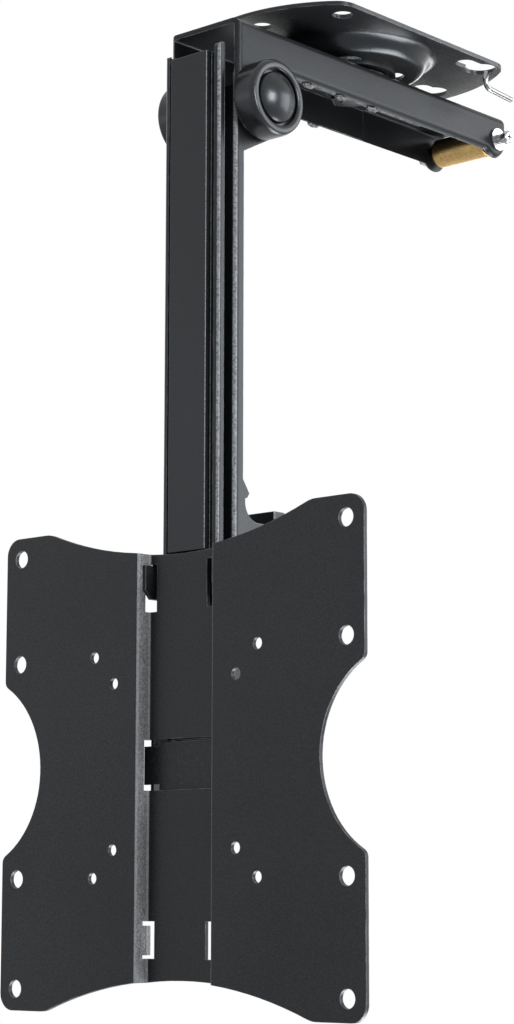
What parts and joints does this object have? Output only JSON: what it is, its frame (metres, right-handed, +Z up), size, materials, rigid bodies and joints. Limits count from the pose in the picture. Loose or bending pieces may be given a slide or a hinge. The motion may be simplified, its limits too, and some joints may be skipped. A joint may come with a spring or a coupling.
{
  "type": "tv ceiling mount",
  "caption": "Flip-down ceiling mount for a flat screen: swivelling ceiling plate, folding column and tilting waisted screen plate with square hole patterns.",
  "frame": {"origin": "on the swivel axis, in the top face of the ceiling plate, where it meets the ceiling", "axes": "+Z up into the ceiling, +X to the right seen from the screen side, -Y towards the viewer (the way the screen faces)"},
  "size_m": [0.2198, 0.2257, 0.4674],
  "materials": {
    "black_steel": "black powder coat, satin",
    "black_plastic": "black moulded plastic, satin",
    "nylon": "natural nylon",
    "bright_steel": "bright zinc plated",
    "zinc_steel": "zinc plated",
    "yellow_zinc": "yellow passivated zinc"
  },
  "bodies": {
    "ceiling": {"ceiling_plate": "black_steel", "hanger_rod": "bright_steel", "swivel_bolt": "black_steel", "glide_disc": "black_plastic", "swivel_washer": "black_steel", "swivel_nut": "black_steel"},
    "arm": {"swivel_boss": "black_steel", "arm_channel": "black_steel", "arm_liner": "black_steel", "arm_welds": "black_steel", "roller_screw": "bright_steel", "roller_washers": "bright_steel", "roller_nut": "bright_steel", "roller_collars": "black_plastic", "hinge_shaft": "zinc_steel", "hinge_nut": "zinc_steel", "hinge_cap_right": "black_plastic", "hinge_button_right": "black_plastic", "hinge_cap_left": "black_plastic", "hinge_button_left": "black_plastic"},
    "roller": {"catch_roller": "yellow_zinc"},
    "column": {"rear_bracket": "black_steel", "front_rail": "black_steel", "rail_cover": "black_steel", "column_spacer": "black_steel", "column_rivets": "zinc_steel", "catch_bracket": "black_steel", "hinge_sleeve": "zinc_steel", "tilt_sleeve": "zinc_steel", "tilt_glides": "nylon"},
    "screen_head": {"screen_plate": "black_steel", "tilt_bracket": "black_steel", "tilt_bolt": "zinc_steel", "tilt_nut": "zinc_steel", "tilt_washers": "zinc_steel"}
  },
  "joints": [
    {"name": "ceiling_swivel", "type": "hinge", "parent": "ceiling", "child": "arm", "pos_m": [0, 0, -0.0131], "axis": [0, 0, 1], "range_deg": [-180, 180]},
    {"name": "main_fold", "type": "hinge", "parent": "arm", "child": "column", "pos_m": [0, -0.0908, -0.0505], "axis": [1, 0, 0], "range_deg": [0, 90]},
    {"name": "screen_tilt", "type": "hinge", "parent": "column", "child": "screen_head", "pos_m": [0, -0.094, -0.3455], "axis": [1, 0, 0], "range_deg": [0, 15]},
    {"name": "roller_spin", "type": "hinge", "parent": "arm", "child": "roller", "pos_m": [0, 0.0932, -0.026], "axis": [1, 0, 0], "continuous": true}
  ]
}
